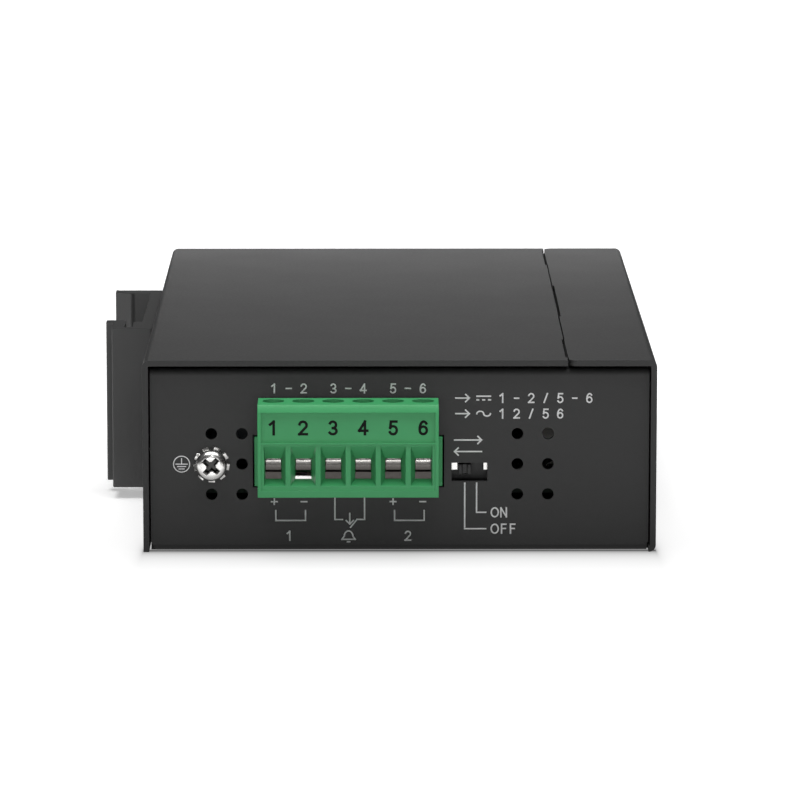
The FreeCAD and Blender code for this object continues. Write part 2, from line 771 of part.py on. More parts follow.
# Clamp of each pole: the screw turns on the spot and its cage climbs towards the contact.
for n in range(poles):
    x = pole_x[n]
    floor_top = contact_z - clamp_rest[n]
    cage_low = floor_top - cage_floor
    cage_top = floor_top + cage_inner + cage_roof
    cage = block(x - cage_half, x + cage_half, cage_y0, cage_y1, cage_low, cage_top)
    hollow = block(x - cage_half + cage_side, x + cage_half - cage_side,
                   cage_y0 - overrun, cage_y1 + overrun, floor_top, floor_top + cage_inner)
    thread = rod((x, screw_axis_y, floor_top), (0, 0, 1), clamp_screw_d / 2 + fit_gap, plug_height)
    save("clamp_cage_" + str(n + 1), without(cage, hollow, thread))
    head_low = well_low + fit_gap
    head = rod((x, screw_axis_y, head_low), (0, 0, 1), clamp_head_d / 2, clamp_head_h)
    tip = contact_top + fit_gap
    shank = rod((x, screw_axis_y, tip), (0, 0, 1), clamp_screw_d / 2, head_low - tip)
    slot = block(x - clamp_slot_w / 2, x + clamp_slot_w / 2,
                 screw_axis_y - clamp_head_d, screw_axis_y + clamp_head_d,
                 head_low + clamp_head_h - clamp_slot_depth, plug_top)
    save("clamp_screw_" + str(n + 1), without(joined(head, shank), slot))

# Mode switch: a bright shell over a black body, with two ears in front, and a knob that slides along X.
frame_y0 = panel_in_y + switch_panel_gap
frame_y1 = frame_y0 + switch_frame_l
frame_x0 = switch_x - switch_frame_w / 2
frame_x1 = switch_x + switch_frame_w / 2
frame_top = board_top + switch_frame_h
slide_x = switch_x + slide_shift
slide_half = (knob_w + switch_travel) / 2 + knob_gap
knob_z = switch_z + knob_rise
knob_half_h = knob_h / 2 + knob_gap
ear_low = switch_z + ear_rise
below = board_top - overrun
shell = block(frame_x0, frame_x1, frame_y0, frame_y1, board_top, frame_top)
shell_inside = block(frame_x0 + switch_wall, frame_x1 - switch_wall,
                     frame_y0 + switch_wall, frame_y1 + overrun,
                     below, frame_top - switch_wall)
front_room = block(slide_x - slide_half, slide_x + slide_half, frame_y0 - overrun, frame_y0 + overrun,
                   below, frame_top - switch_wall)
under_ears = block(frame_x0 + switch_wall, frame_x1 - switch_wall, frame_y0 - overrun, frame_y0 + overrun,
                   below, ear_low)
save("switch_frame", without(shell, shell_inside, front_room, under_ears))
core_gap = switch_wall + fit_gap
core = block(frame_x0 + core_gap, frame_x1 - core_gap, frame_y0 + core_gap, frame_y1,
             board_top, frame_top - core_gap)
knob_floor = frame_y0 + core_gap + knob_root
knob_room = block(slide_x - slide_half, slide_x + slide_half, frame_y0, knob_floor,
                  knob_z - knob_half_h, knob_z + knob_half_h)
low_room = block(frame_x0, frame_x1, frame_y0, knob_floor, below, ear_low)
save("switch_body", without(core, knob_room, low_room))
knob_x = slide_x - switch_travel / 2
knob_front = panel_y + knob_inset
knob = block(knob_x - knob_w / 2, knob_x + knob_w / 2, knob_front, knob_floor - knob_gap,
             knob_z - knob_h / 2, knob_z + knob_h / 2)
groove = block(knob_x - knob_groove_w / 2, knob_x + knob_groove_w / 2,
               knob_front - overrun, knob_front + knob_groove_depth,
               knob_z - knob_h, knob_z + knob_h)
save("switch_knob", without(knob, groove))

# Copper ports: a metal shield around a plastic insert with the socket, and eight contact wires.
for n in range(len(jack_y)):
    y = jack_y[n]
    x0 = right_x - jack_length
    half = jack_width / 2
    top = board_top + jack_height
    shield = without(
        block(x0, right_x, y - half, y + half, board_top, top),
        block(x0 + jack_wall, right_x + overrun, y - half + jack_wall, y + half - jack_wall,
              board_top - overrun, top - jack_wall))
    inner = half - jack_wall - fit_gap
    mouth_top = board_top + jack_mouth_low + jack_mouth_h
    mouth_back = right_x - jack_depth
    insert = without(
        block(x0 + jack_wall + fit_gap, right_x, y - inner, y + inner,
              board_top, top - jack_wall - fit_gap),
        block(mouth_back, right_x + overrun, y - jack_mouth_w / 2, y + jack_mouth_w / 2,
              board_top + jack_mouth_low, mouth_top),
        block(mouth_back, right_x + overrun, y - jack_key_w / 2, y + jack_key_w / 2,
              board_top + jack_mouth_low - jack_key_h, mouth_top))
    wires = []
    for k in range(jack_wires):
        wire_y = y + jack_wire_pitch * (k - (jack_wires - 1) / 2)
        wires.append(block(mouth_back, mouth_back + jack_wire_len,
                           wire_y - jack_wire_w / 2, wire_y + jack_wire_w / 2,
                           mouth_top - jack_wire_drop - jack_wire_w, mouth_top - jack_wire_drop))
    save("jack_shield_" + str(n + 1), shield)
    save("jack_insert_" + str(n + 1), insert)
    save("jack_contacts_" + str(n + 1), *wires)

# Fibre module ports: a sheet cage open at the front, with the card socket at its back end.
for n in range(len(sfp_y)):
    y = sfp_y[n]
    x0 = right_x - sfp_length
    half = sfp_width / 2
    top = board_top + sfp_height
    socket_half = half - sfp_wall - socket_side_gap
    slot_half = socket_half - socket_cheek
    socket_x0 = x0 + sfp_wall + socket_back
    socket_x1 = socket_x0 + socket_length
    cage = without(
        block(x0, right_x, y - half, y + half, board_top, top),
        block(x0 + sfp_wall, right_x + overrun, y - half + sfp_wall, y + half - sfp_wall,
              board_top + sfp_wall, top - sfp_wall),
        block(x0 + sfp_wall, socket_x1 + socket_back, y - half + sfp_wall, y + half - sfp_wall,
              board_top - overrun, board_top + sfp_wall))
    slot_z = board_top + socket_slot_low
    socket = without(
        block(socket_x0, socket_x1, y - socket_half, y + socket_half,
              board_top, board_top + socket_height),
        block(socket_x1 - socket_slot_depth, socket_x1 + overrun,
              y - slot_half, y + slot_half, slot_z, slot_z + socket_slot_h))
    save("sfp_cage_" + str(n + 1), cage)
    save("sfp_socket_" + str(n + 1), socket)

# Status lights: one clear guide with six pins through the port wall, and a light behind each pin.
guide_x1 = right_x - sheet - light_reach
guide_x0 = guide_x1 - light_bar
light_level = board_top + light_z
guide = block(guide_x0, guide_x1, light_ys[0] - light_d, light_ys[-1] + light_d,
              board_top, light_level + light_d)
guide_pins = []
leds = []
for y in light_ys:
    guide_pins.append(rod((guide_x1, y, light_level), (1, 0, 0), light_d / 2,
                          right_x + light_proud - guide_x1))
    leds.append(block(guide_x0 - led_gap - led_size, guide_x0 - led_gap, y - led_size / 2, y + led_size / 2,
                      board_top, light_level + led_size / 2))
save("light_guide", joined(guide, *guide_pins))
save("status_leds", *leds)

# Parts on the board.
save("alarm_relay", chip(relay_size, relay_place, board_y0))
save("power_transformer", chip(transformer_size, transformer_place, board_y0))
save("power_choke", chip(choke_size, choke_place, board_y0))
save("rectifiers", *[chip(rectifier_size, place, board_y0) for place in rectifier_places])
save("memory_chips", *[chip(memory_size, place, board_mid_y) for place in memory_places])
save("crystal_can", chip(crystal_size, crystal_place, board_mid_y))
save("switch_chip", chip(chip_size, chip_place, board_mid_y))
capacitor = lathe([(0, 0, 0), (capacitor_d / 2, 0, part_round), (capacitor_d / 2, capacitor_h, part_round),
                   (0, capacitor_h, 0)])
capacitor_x = board_x0 + capacitor_in_x
save("bulk_capacitors", *[turned(capacitor, (0, 0, 1), (capacitor_x, board_y0 + y, board_top))
                          for y in capacitor_in_y])

# Finned heat sink standing on the main chip.
sink_x = board_x0 + chip_place[0]
sink_y = board_mid_y + chip_place[1]
sink_z = board_top + chip_size[2]
half = sink_size / 2
sink = block(sink_x - half, sink_x + half, sink_y - half, sink_y + half, sink_z, sink_z + sink_base)
fins = []
for n in range(sink_fins):
    fin_x = sink_x - half + n * (sink_size - sink_fin) / (sink_fins - 1)
    fins.append(block(fin_x, fin_x + sink_fin, sink_y - half, sink_y + half, sink_z, sink_z + sink_height))
save("heat_sink", joined(sink, *fins))
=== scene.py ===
import math

import bpy
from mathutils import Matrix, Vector


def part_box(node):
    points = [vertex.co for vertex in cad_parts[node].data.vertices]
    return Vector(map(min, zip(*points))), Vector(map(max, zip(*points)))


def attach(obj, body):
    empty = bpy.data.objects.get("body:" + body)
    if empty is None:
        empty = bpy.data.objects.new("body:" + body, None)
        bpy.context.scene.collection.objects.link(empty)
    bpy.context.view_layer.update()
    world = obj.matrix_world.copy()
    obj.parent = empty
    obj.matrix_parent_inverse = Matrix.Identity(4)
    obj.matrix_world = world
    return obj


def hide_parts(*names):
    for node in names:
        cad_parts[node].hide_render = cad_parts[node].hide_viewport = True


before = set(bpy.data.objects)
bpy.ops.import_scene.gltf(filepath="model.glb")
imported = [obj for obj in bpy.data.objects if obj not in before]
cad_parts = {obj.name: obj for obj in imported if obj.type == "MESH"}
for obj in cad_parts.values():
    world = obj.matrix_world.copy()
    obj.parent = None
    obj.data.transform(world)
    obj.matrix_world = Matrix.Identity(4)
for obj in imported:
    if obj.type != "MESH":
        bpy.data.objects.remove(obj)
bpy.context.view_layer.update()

# Sheet housing
# Chassis and cover are folded from 1 mm steel sheet, punched first and then powder coated in black.
# The coat rounds every cut edge a little and leaves a fine grain; tongues hook the two sheets together.
mm = 0.001


class Value:
    """One output of a material's node tree; arithmetic on it adds Math nodes."""

    def __init__(self, finish, socket):
        self.finish = finish
        self.socket = socket

    def __add__(self, other):
        return self.finish.maths("ADD", self, other)

    def __radd__(self, other):
        return self.finish.maths("ADD", other, self)

    def __sub__(self, other):
        return self.finish.maths("SUBTRACT", self, other)

    def __rsub__(self, other):
        return self.finish.maths("SUBTRACT", other, self)

    def __mul__(self, other):
        return self.finish.maths("MULTIPLY", self, other)

    def __rmul__(self, other):
        return self.finish.maths("MULTIPLY", other, self)

    def __truediv__(self, other):
        return self.finish.maths("DIVIDE", self, other)

    def __rtruediv__(self, other):
        return self.finish.maths("DIVIDE", other, self)


class Finish:
    """A procedural material around one surface shader."""

    def __init__(self, name, fixed):
        self.material = bpy.data.materials.new(name)
        self.material.use_nodes = True
        self.tree = self.material.node_tree
        self.surface = self.tree.nodes["Principled BSDF"]
        self.feed(self.surface, fixed)
        self.place = self.node("ShaderNodeTexCoord", {}, {}, "Object")

    def feed(self, node, sockets):
        for key, value in sockets.items():
            if isinstance(value, Value):
                self.tree.links.new(value.socket, node.inputs[key])
            else:
                node.inputs[key].default_value = value

    def node(self, kind, settings, sockets, output=0):
        made = self.tree.nodes.new(kind)
        for key, value in settings.items():
            setattr(made, key, value)
        self.feed(made, sockets)
        return Value(self, made.outputs[output])

    def maths(self, operation, first, second):
        return self.node("ShaderNodeMath", {"operation": operation}, {0: first, 1: second})

    def above(self, value, limit):
        return self.maths("GREATER_THAN", value, limit)

    def rise(self, value, start, stop):
        # A soft step from 0 at the start to 1 at the stop.
        return self.node("ShaderNodeMapRange", {"interpolation_type": "SMOOTHSTEP"},
                         {"Value": value, "From Min": start, "From Max": stop})

    def vector(self, operation, first, second=(0, 0, 0)):
        return self.node("ShaderNodeVectorMath", {"operation": operation}, {0: first, 1: second})

    def length(self, vector):
        return self.node("ShaderNodeVectorMath", {"operation": "LENGTH"}, {0: vector}, "Value")

    def along(self, vector, axis):
        return self.node("ShaderNodeSeparateXYZ", {}, {0: vector}, axis)

    def noise(self, grain, detail=2.0, stretch=(1, 1, 1)):
        # Grain is the size of the spots in metres; stretch lengthens them along an axis.
        scaled = self.node("ShaderNodeMapping", {},
                           {"Vector": self.place, "Scale": [1 / length for length in stretch]})
        return self.node("ShaderNodeTexNoise", {},
                         {"Vector": scaled, "Scale": 1 / grain, "Detail": detail})

    def between(self, factor, first, second):
        # The colour that lies between two colours by a factor from 0 to 1.
        return self.node("ShaderNodeMix", {"data_type": "RGBA"},
                         {0: factor, 6: (*first, 1), 7: (*second, 1)}, 2)

    def paint(self, color, roughness, height=None, depth=None):
        # Depth is how far a height from 0 to 1 stands out, in metres.
        self.feed(self.surface, {"Base Color": color, "Roughness": roughness})
        if height:
            relief = self.node("ShaderNodeBump", {}, {"Height": height, "Distance": depth})
            self.feed(self.surface, {"Normal": relief})


def grey(level):
    return (level, level, level)


def only(piece):
    # Makes one object the whole selection.
    bpy.ops.object.select_all(action="DESELECT")
    piece.select_set(True)
    bpy.context.view_layer.objects.active = piece


def dress(piece, finish):
    piece.data.materials.clear()
    piece.data.materials.append(finish.material)


smooth_below = math.radians(35)
soften_above = math.radians(40)
soften_steps = 2
merge_within = 0.002 * mm
flat_within = math.radians(0.5)


def smooth(piece):
    only(piece)
    bpy.ops.object.shade_smooth_by_angle(angle=smooth_below)


def apply_modifiers(piece):
    only(piece)
    for modifier in list(piece.modifiers):
        bpy.ops.object.modifier_apply(modifier=modifier.name)


def soften(piece, width):
    # Rounds every sharp edge of a piece a little.
    edge = piece.modifiers.new("edge", "BEVEL")
    edge.width = width
    edge.segments = soften_steps
    edge.limit_method = "ANGLE"
    edge.angle_limit = soften_above
    apply_modifiers(piece)


def eased(node, body, finish, width):
    # A copy of a solid with its sharp edges eased, as coating or moulding leaves them.
    piece = bpy.data.objects.new(node + "_eased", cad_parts[node].data.copy())
    bpy.context.collection.objects.link(piece)
    only(piece)
    bpy.ops.object.mode_set(mode="EDIT")
    bpy.ops.mesh.select_all(action="SELECT")
    bpy.ops.mesh.customdata_custom_splitnormals_clear()
    bpy.ops.mesh.remove_doubles(threshold=merge_within)
    bpy.ops.mesh.dissolve_limited(angle_limit=flat_within)
    bpy.ops.object.mode_set(mode="OBJECT")
    soften(piece, width)
    smooth(piece)
    flatten = piece.modifiers.new("flatten", "WEIGHTED_NORMAL")
    flatten.keep_sharp = True
    apply_modifiers(piece)
    dress(piece, finish)
    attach(piece, body)
    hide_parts(node)
    return piece


coat_edge = 0.14 * mm
coat = Finish("black_powder_coat", {"Specular IOR Level": 0.42})
coat_grain = coat.noise(grain=0.45 * mm, detail=3.0)
coat_cloud = coat.noise(grain=14 * mm)
coat.paint(color=coat.between(coat_cloud, grey(0.022), grey(0.028)),
           roughness=coat_grain * 0.10 + coat_cloud * 0.06 + 0.44,
           height=coat_grain, depth=0.012 * mm)
for sheet in ("base_chassis", "rear_cover"):
    eased(sheet, "housing", coat, coat_edge)

# Fasteners of the housing
# Zinc-plated steel screws and nuts: the flat cover screws, the clip's screws with their round nuts,
# the screws and standoffs of the board, and the nut that holds the earth screw behind the panel.
fastener_edge = 0.08 * mm
zinc = Finish("zinc_plate", {"Metallic": 1.0})
zinc_cloud = zinc.noise(grain=0.9 * mm, detail=3.0)
zinc_fine = zinc.noise(grain=0.12 * mm)
zinc.paint(color=zinc.between(zinc_cloud, (0.62, 0.62, 0.60), (0.80, 0.80, 0.79)),
           roughness=zinc_cloud * 0.16 + 0.16, height=zinc_fine, depth=0.004 * mm)
for screw in ("cover_screws", "clip_screws"):
    eased(screw, "housing", zinc, fastener_edge)
for fastener in ("clip_nuts", "earth_nut", "board_standoffs", "board_screws"):
    dress(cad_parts[fastener], zinc)

# Rail clip
# One black anodised aluminium extrusion with drawn lines along its run, sawn to length, so that its two
# ends are duller and darker. Its slot holds a bowed spring wire that presses the rail's edge.
clip_edge = 0.12 * mm
saw_film = 0.05 * mm
clip_low, clip_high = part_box("din_clip")
anodised = Finish("black_anodised_aluminium", {"Specular IOR Level": 0.5})
drawn = anodised.noise(grain=0.16 * mm, stretch=(1, 1, 60))
anodised_cloud = anodised.noise(grain=9 * mm)
along_clip = anodised.along(anodised.place, "Z")
sawn_above = anodised.above(along_clip, clip_high.z - saw_film)
sawn_below = anodised.above(clip_low.z + saw_film, along_clip)
sawn = sawn_above + sawn_below
anodised.paint(color=anodised.between((anodised_cloud * 0.3 + 0.7) * (1 - sawn), grey(0.020), grey(0.073)),
               roughness=drawn * 0.14 + sawn * 0.25 + 0.40, height=drawn, depth=0.006 * mm)
eased("din_clip", "housing", anodised, clip_edge)


def mottled(name, fixed, spots, dark, light, rough, depth=None):
    # A finish whose colour and roughness drift together from spot to spot, with relief if a depth is given.
    finish = Finish(name, fixed)
    drift = finish.noise(**spots)
    finish.paint(color=finish.between(drift, dark, light),
                 roughness=drift * (rough[1] - rough[0]) + rough[0],
                 height=drift if depth else None, depth=depth)
    return finish


spring = mottled("spring_wire", {"Metallic": 1.0}, spots={"grain": 0.10 * mm, "stretch": (1, 1, 20)},
                 dark=grey(0.42), light=grey(0.58), rough=(0.20, 0.40), depth=0.004 * mm)
dress(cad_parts["rail_spring"], spring)

# Earth point
# A pan screw clamps a star washer to the panel. The washer is punched from spring steel, and its teeth are
# twisted out of the ring, so that they bite through the coat. Both are bright nickel, with shade painted
# dark into the screw's recess.
screw_low, screw_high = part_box("earth_screw")
head_out = (screw_high.x - screw_low.x) / 2
head_tall = 2.0 * mm
head_dome = 1.30 * mm
head_face = Vector(((screw_low.x + screw_high.x) / 2, screw_low.y, (screw_low.z + screw_high.z) / 2))
recess_from = 0.15 * mm
recess_to = 0.70 * mm
nickel = Finish("bright_nickel", {"Metallic": 1.0})
nickel_cloud = nickel.noise(grain=0.7 * mm, detail=3.0)
nickel_fine = nickel.noise(grain=0.10 * mm)
# Painted shade: the colour turns dark inside the screw's recess, below the head's face.
from_face = nickel.vector("SUBTRACT", nickel.place, head_face)
from_axis = nickel.length(nickel.vector("MULTIPLY", from_face, (1, 0, 1)))
deep = nickel.rise(nickel.along(from_face, "Y"), recess_from, recess_to)
recess_shade = nickel.above(head_out - head_dome, from_axis) * deep
nickel_tone_and_recess_shade = (nickel_cloud * 0.2 + 0.8) * (1 - recess_shade)
nickel.paint(color=nickel.between(nickel_tone_and_recess_shade, (0.070, 0.069, 0.067), (0.90, 0.89, 0.87)),
             roughness=nickel_cloud * 0.12 + recess_shade * 0.15 + 0.20, height=nickel_fine, depth=0.003 * mm)

washer_low, washer_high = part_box("earth_washer")
washer_at = (washer_low + washer_high) / 2
washer_out = (washer_high.x - washer_low.x) / 2
ring_share = 0.80
hole_share = 0.53
flat_share = 0.80
washer_ring = washer_out * ring_share
washer_hole = washer_out * hole_share
washer_thick = (washer_high.y - washer_low.y) * flat_share
washer_edge = 0.06 * mm
washer_turn = math.radians(8)
tooth_count = 9
tooth_width = 1.2 * mm
tooth_twist = math.radians(24)
tooth_share = 1.15
tooth_in = washer_hole * tooth_share


def new_piece(name):
    piece = bpy.context.active_object
    piece.name = name
    piece.data.name = name
    return piece


def join(pieces, name):
    bpy.ops.object.select_all(action="DESELECT")
    for piece in pieces:
        piece.select_set(True)
    bpy.context.view_layer.objects.active = pieces[0]
    bpy.ops.object.join()
    return new_piece(name)


def settle(piece):
    # Puts the object at the origin, unturned, with its place in its mesh.
    only(piece)
    bpy.ops.object.transform_apply(location=True, rotation=True, scale=True)


def pick(piece, what, test):
    # Selects the faces, edges or vertices of a piece in edit mode by a test on their middle.
    bpy.ops.object.mode_set(mode="EDIT")
    bpy.ops.mesh.select_mode(type={"faces": "FACE", "edges": "EDGE", "vertices": "VERT"}[what])
    bpy.ops.mesh.select_all(action="DESELECT")
    bpy.ops.object.mode_set(mode="OBJECT")
    points = piece.data.vertices
    for part in getattr(piece.data, "polygons" if what == "faces" else what):
        corners = [part.co] if what == "vertices" else [points[index].co for index in part.vertices]
        part.select = test(sum(corners, Vector()) / len(corners))
    bpy.ops.object.mode_set(mode="EDIT")


def cut(piece, tool):
    notch = piece.modifiers.new("notch", "BOOLEAN")
    notch.operation = "DIFFERENCE"
    notch.object = tool
    apply_modifiers(piece)
    bpy.data.objects.remove(tool)


shank_out = 1.5 * mm
shank_long = screw_high.y - screw_low.y - head_tall
wing_long = 3.7 * mm
wing_wide = 0.95 * mm
wing_deep = 1.60 * mm
wing_over = 0.3 * mm
wing_taper = (0.60, 0.62, 1)
core_out = 0.95 * mm
core_in = 0.45 * mm
core_sides = 8
recess_tall = wing_deep + wing_over
recess_at = (0, 0, head_tall + (wing_over - wing_deep) / 2)
head_edge = 0.07 * mm
dome_steps = 8
round_sides = 72
quarter_turn = math.radians(90)
screw_turn = math.radians(40)
bpy.ops.object.select_all(action="DESELECT")
bpy.ops.mesh.primitive_cylinder_add(vertices=round_sides, radius=head_out, depth=head_tall,
                                    location=(0, 0, head_tall / 2))
pan_screw = new_piece("pan_screw")
settle(pan_screw)
pick(pan_screw, "faces", lambda middle: middle.z < head_tall / 4)
bpy.ops.mesh.inset(thickness=head_out - shank_out)
bpy.ops.mesh.extrude_region_move(TRANSFORM_OT_translate={"value": (0, 0, -shank_long)})
pick(pan_screw, "edges", lambda middle: middle.z > head_tall * 3 / 4)
bpy.ops.mesh.bevel(offset=head_dome, segments=dome_steps)
bpy.ops.object.mode_set(mode="OBJECT")
for turn in (0, quarter_turn):
    bpy.ops.object.select_all(action="DESELECT")
    bpy.ops.mesh.primitive_cube_add(size=1, scale=(wing_long, wing_wide, recess_tall), location=recess_at)
    wing = new_piece("wing")
    settle(wing)
    pick(wing, "vertices", lambda middle: middle.z < head_tall - wing_deep / 2)
    bpy.ops.transform.resize(value=wing_taper)
    bpy.ops.object.mode_set(mode="OBJECT")
    wing.rotation_euler = (0, 0, turn)
    settle(wing)
    cut(pan_screw, wing)
bpy.ops.object.select_all(action="DESELECT")
bpy.ops.mesh.primitive_cone_add(vertices=core_sides, radius1=core_in, radius2=core_out,
                                depth=recess_tall, location=recess_at)
core = new_piece("core")
settle(core)
cut(pan_screw, core)
soften(pan_screw, head_edge)
pan_screw.rotation_euler = (quarter_turn, screw_turn, 0)
pan_screw.location = head_face + Vector((0, head_tall, 0))
settle(pan_screw)
smooth(pan_screw)
dress(pan_screw, nickel)
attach(pan_screw, "housing")
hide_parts("earth_screw")

bpy.ops.object.select_all(action="DESELECT")
bpy.ops.mesh.primitive_circle_add(vertices=round_sides, radius=washer_ring)
star = new_piece("star_washer")
bpy.ops.object.mode_set(mode="EDIT")
bpy.ops.mesh.select_all(action="SELECT")
bpy.ops.mesh.extrude_edges_move()
bpy.ops.transform.resize(value=(washer_hole / washer_ring, washer_hole / washer_ring, 1))
bpy.ops.mesh.select_all(action="SELECT")
bpy.ops.mesh.normals_make_consistent(inside=False)
bpy.ops.object.mode_set(mode="OBJECT")
star_wall = star.modifiers.new("wall", "SOLIDIFY")
star_wall.thickness = washer_thick
star_wall.offset = 0
apply_modifiers(star)
teeth = []
for n in range(tooth_count):
    turn = 2 * math.pi * n / tooth_count
    bpy.ops.object.select_all(action="DESELECT")
    bpy.ops.mesh.primitive_cube_add(size=1, scale=(washer_out - tooth_in, tooth_width, washer_thick))
    tooth = new_piece("tooth")
    bpy.ops.object.transform_apply(scale=True)
    tooth.rotation_euler = (tooth_twist, 0, turn)
    reach = (washer_out + tooth_in) / 2
    tooth.location = (reach * math.cos(turn), reach * math.sin(turn), 0)
    settle(tooth)
    teeth.append(tooth)
tooth_set = join(teeth, "tooth_set")
union = star.modifiers.new("teeth", "BOOLEAN")
union.operation = "UNION"
union.object = tooth_set
union.use_self = True
apply_modifiers(star)
bpy.data.objects.remove(tooth_set)
soften(star, washer_edge)
star.rotation_euler = (quarter_turn, washer_turn, 0)
star.location = washer_at
settle(star)
smooth(star)
dress(star, nickel)
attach(star, "housing")
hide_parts("earth_washer")

# Terminal header and plug
# Both are injection moulded in green glass-filled nylon; the plug slides off the header's pins.
# The mould leaves a fine satin grain and soft edges, and the pole numbers are printed in black.
header_edge = 0.10 * mm
plug_edge = 0.09 * mm
green = Finish("green_nylon", {"Specular IOR Level": 0.45})
green_grain = green.noise(grain=0.22 * mm, detail=3.0)
green_cloud = green.noise(grain=5 * mm)
green.paint(color=green.between(green_cloud, (0.046, 0.345, 0.120), (0.056, 0.390, 0.140)),
            roughness=green_grain * 0.12 + 0.40, height=green_grain, depth=0.006 * mm)
# The photograph's light leaves no green in the bright screw and the coat beside the plug.
eased("terminal_header", "housing", green, header_edge).visible_glossy = False
eased("terminal_plug", "plug", green, plug_edge).visible_glossy = False

black_ink = mottled("black_ink", {"Specular IOR Level": 0.15}, spots={"grain": 0.15 * mm, "detail": 3.0},
                    dark=grey(0.003), light=grey(0.006), rough=(0.60, 0.80))

ink_film = 0.03 * mm
sharp_corner = math.radians(35)


def arc(middle, half_wide, half_tall, start=0, stop=360, steps=24):
    # Points along an ellipse between two angles in degrees, counted from +X.
    turns = [math.radians(start + (stop - start) * n / steps) for n in range(steps + 1)]
    return [(middle[0] + half_wide * math.cos(turn), middle[1] + half_tall * math.sin(turn))
            for turn in turns]


# Each figure is drawn by strokes in a box one unit tall, with zero at its middle across.
figure_shapes = {
    "1": [[(-0.22, 0.77), (0.06, 1), (0.06, 0)]],
    "2": [[*arc((0, 0.72), 0.28, 0.28, 165, -40), (-0.29, 0), (0.30, 0)]],
    "3": [arc((-0.02, 0.74), 0.25, 0.26, 150, -90), arc((-0.02, 0.24), 0.29, 0.24, 90, -150)],
    "4": [[(0.14, 0), (0.14, 1), (-0.31, 0.27), (0.32, 0.27)]],
    "5": [[(0.25, 1), (-0.18, 1), (-0.235, 0.50)], arc((-0.01, 0.31), 0.29, 0.32, 140, -150)],
    "6": [arc((0, 0.30), 0.28, 0.30), arc((0.03, 0.40), 0.31, 0.60, 190, 48)],
    "O": [arc((0, 0.50), 0.39, 0.50)],
    "N": [[(-0.30, 0), (-0.30, 1), (0.30, 0), (0.30, 1)]],
    "F": [[(-0.22, 0), (-0.22, 1), (0.26, 1)], [(-0.22, 0.52), (0.20, 0.52)]],
    "/": [[(-0.18, 0), (0.18, 1)]],
    "-": [[(-0.22, 0.48), (0.22, 0.48)]],
}


def figure(sign, middle, height):
    # The strokes of one sign around a middle given as X and Z.
    return [[(middle[0] + height * across, middle[1] + height * (up - 0.5)) for across, up in stroke]
            for stroke in figure_shapes[sign]]


def straight_runs(path):
    # Cuts a path at its sharp corners, so that each run is drawn by itself.
    points = [Vector(point) for point in path]
    runs = [points[:2]]
    for point in points[2:]:
        last = runs[-1]
        if (last[-1] - last[-2]).angle(point - last[-1]) > sharp_corner:
            runs.append([last[-1]])
        runs[-1].append(point)
    return runs


def printed(name, paths, width, face):
    # Ink along paths given as X and Z, on a wall that faces -Y: a thin bead pressed flat.
    bead = bpy.data.curves.new(name, "CURVE")
    bead.dimensions = "3D"
    bead.bevel_depth = width / 2
    bead.bevel_resolution = 2
    bead.use_fill_caps = True
    for run in [run for path in paths for run in straight_runs(path)]:
        closed = (run[0] - run[-1]).length < ink_film
        if closed:
            run = run[:-1]
        else:
            first = run[0] + (run[0] - run[1]).normalized() * width / 2
            last = run[-1] + (run[-1] - run[-2]).normalized() * width / 2
            run = [first, *run[1:-1], last]
        spline = bead.splines.new("POLY")
        spline.points.add(len(run) - 1)
        spline.use_cyclic_u = closed
        for point, place in zip(spline.points, run):
            point.co = (*place, 0, 1)
    piece = bpy.data.objects.new(name, bead)
    bpy.context.collection.objects.link(piece)
    only(piece)
    bpy.ops.object.convert(target="MESH")
    piece = new_piece(name)
    piece.scale = (1, 1, ink_film / width)
    piece.rotation_euler = (quarter_turn, 0, 0)
    piece.location = (0, face, 0)
    settle(piece)
    smooth(piece)
    return piece


plug_low, plug_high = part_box("terminal_plug")
pole_count = 6
pole_at = []
for n in range(1, pole_count + 1):
    pole_low, pole_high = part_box("clamp_screw_%d" % n)
    pole_at.append((pole_low.x + pole_high.x) / 2)
number_face = plug_low.y + 0.55 * mm
number_level = plug_high.z - 3.9 * mm
number_height = 2.15 * mm
number_width = 0.45 * mm
number_paths = []
for n, pole in enumerate(pole_at):
    number_paths += figure(str(n + 1), (pole, number_level), number_height)
pole_numbers = printed("pole_numbers", number_paths, number_width, number_face)
dress(pole_numbers, black_ink)
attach(pole_numbers, "plug")

# Clamps of the plug
# Each pole has a tinned brass contact, painted bright near its top as a highlight and dark below as shade,
# a cage that lifts the wire, and a slotted screw in dull zinc, with shade painted dark towards the foot of
# its slot. Contacts and cages are punched and bent, so fine lines run across them.
# The cages are steel painted almost black as shade, apart from the second pole's, which is bright zinc.
contact_edge = 0.06 * mm
clamp_edge = 0.08 * mm
bright_pole = 2
tin = Finish("tinned_brass", {"Metallic": 1.0})
tin_lines = tin.noise(grain=0.12 * mm, stretch=(12, 1, 1))
tin_cloud = tin.noise(grain=0.8 * mm)
contact_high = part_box("plug_contacts")[1].z
highlight_from = contact_high - 0.95 * mm
highlight_to = contact_high - 0.45 * mm
# Painted highlight and shade: the colour turns bright towards the contacts' top and stays dark below.
painted_top_highlight = tin.rise(tin.along(tin.place, "Z"), highlight_from, highlight_to)
tin.paint(color=tin.between(painted_top_highlight * (tin_cloud * 0.5 + 0.75), (0.085, 0.080, 0.075), (0.62, 0.60, 0.57)),
          roughness=tin_lines * 0.16 + 0.20, height=tin_lines, depth=0.005 * mm)
eased("plug_contacts", "plug", tin, contact_edge)
dress(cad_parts["header_pins"], tin)
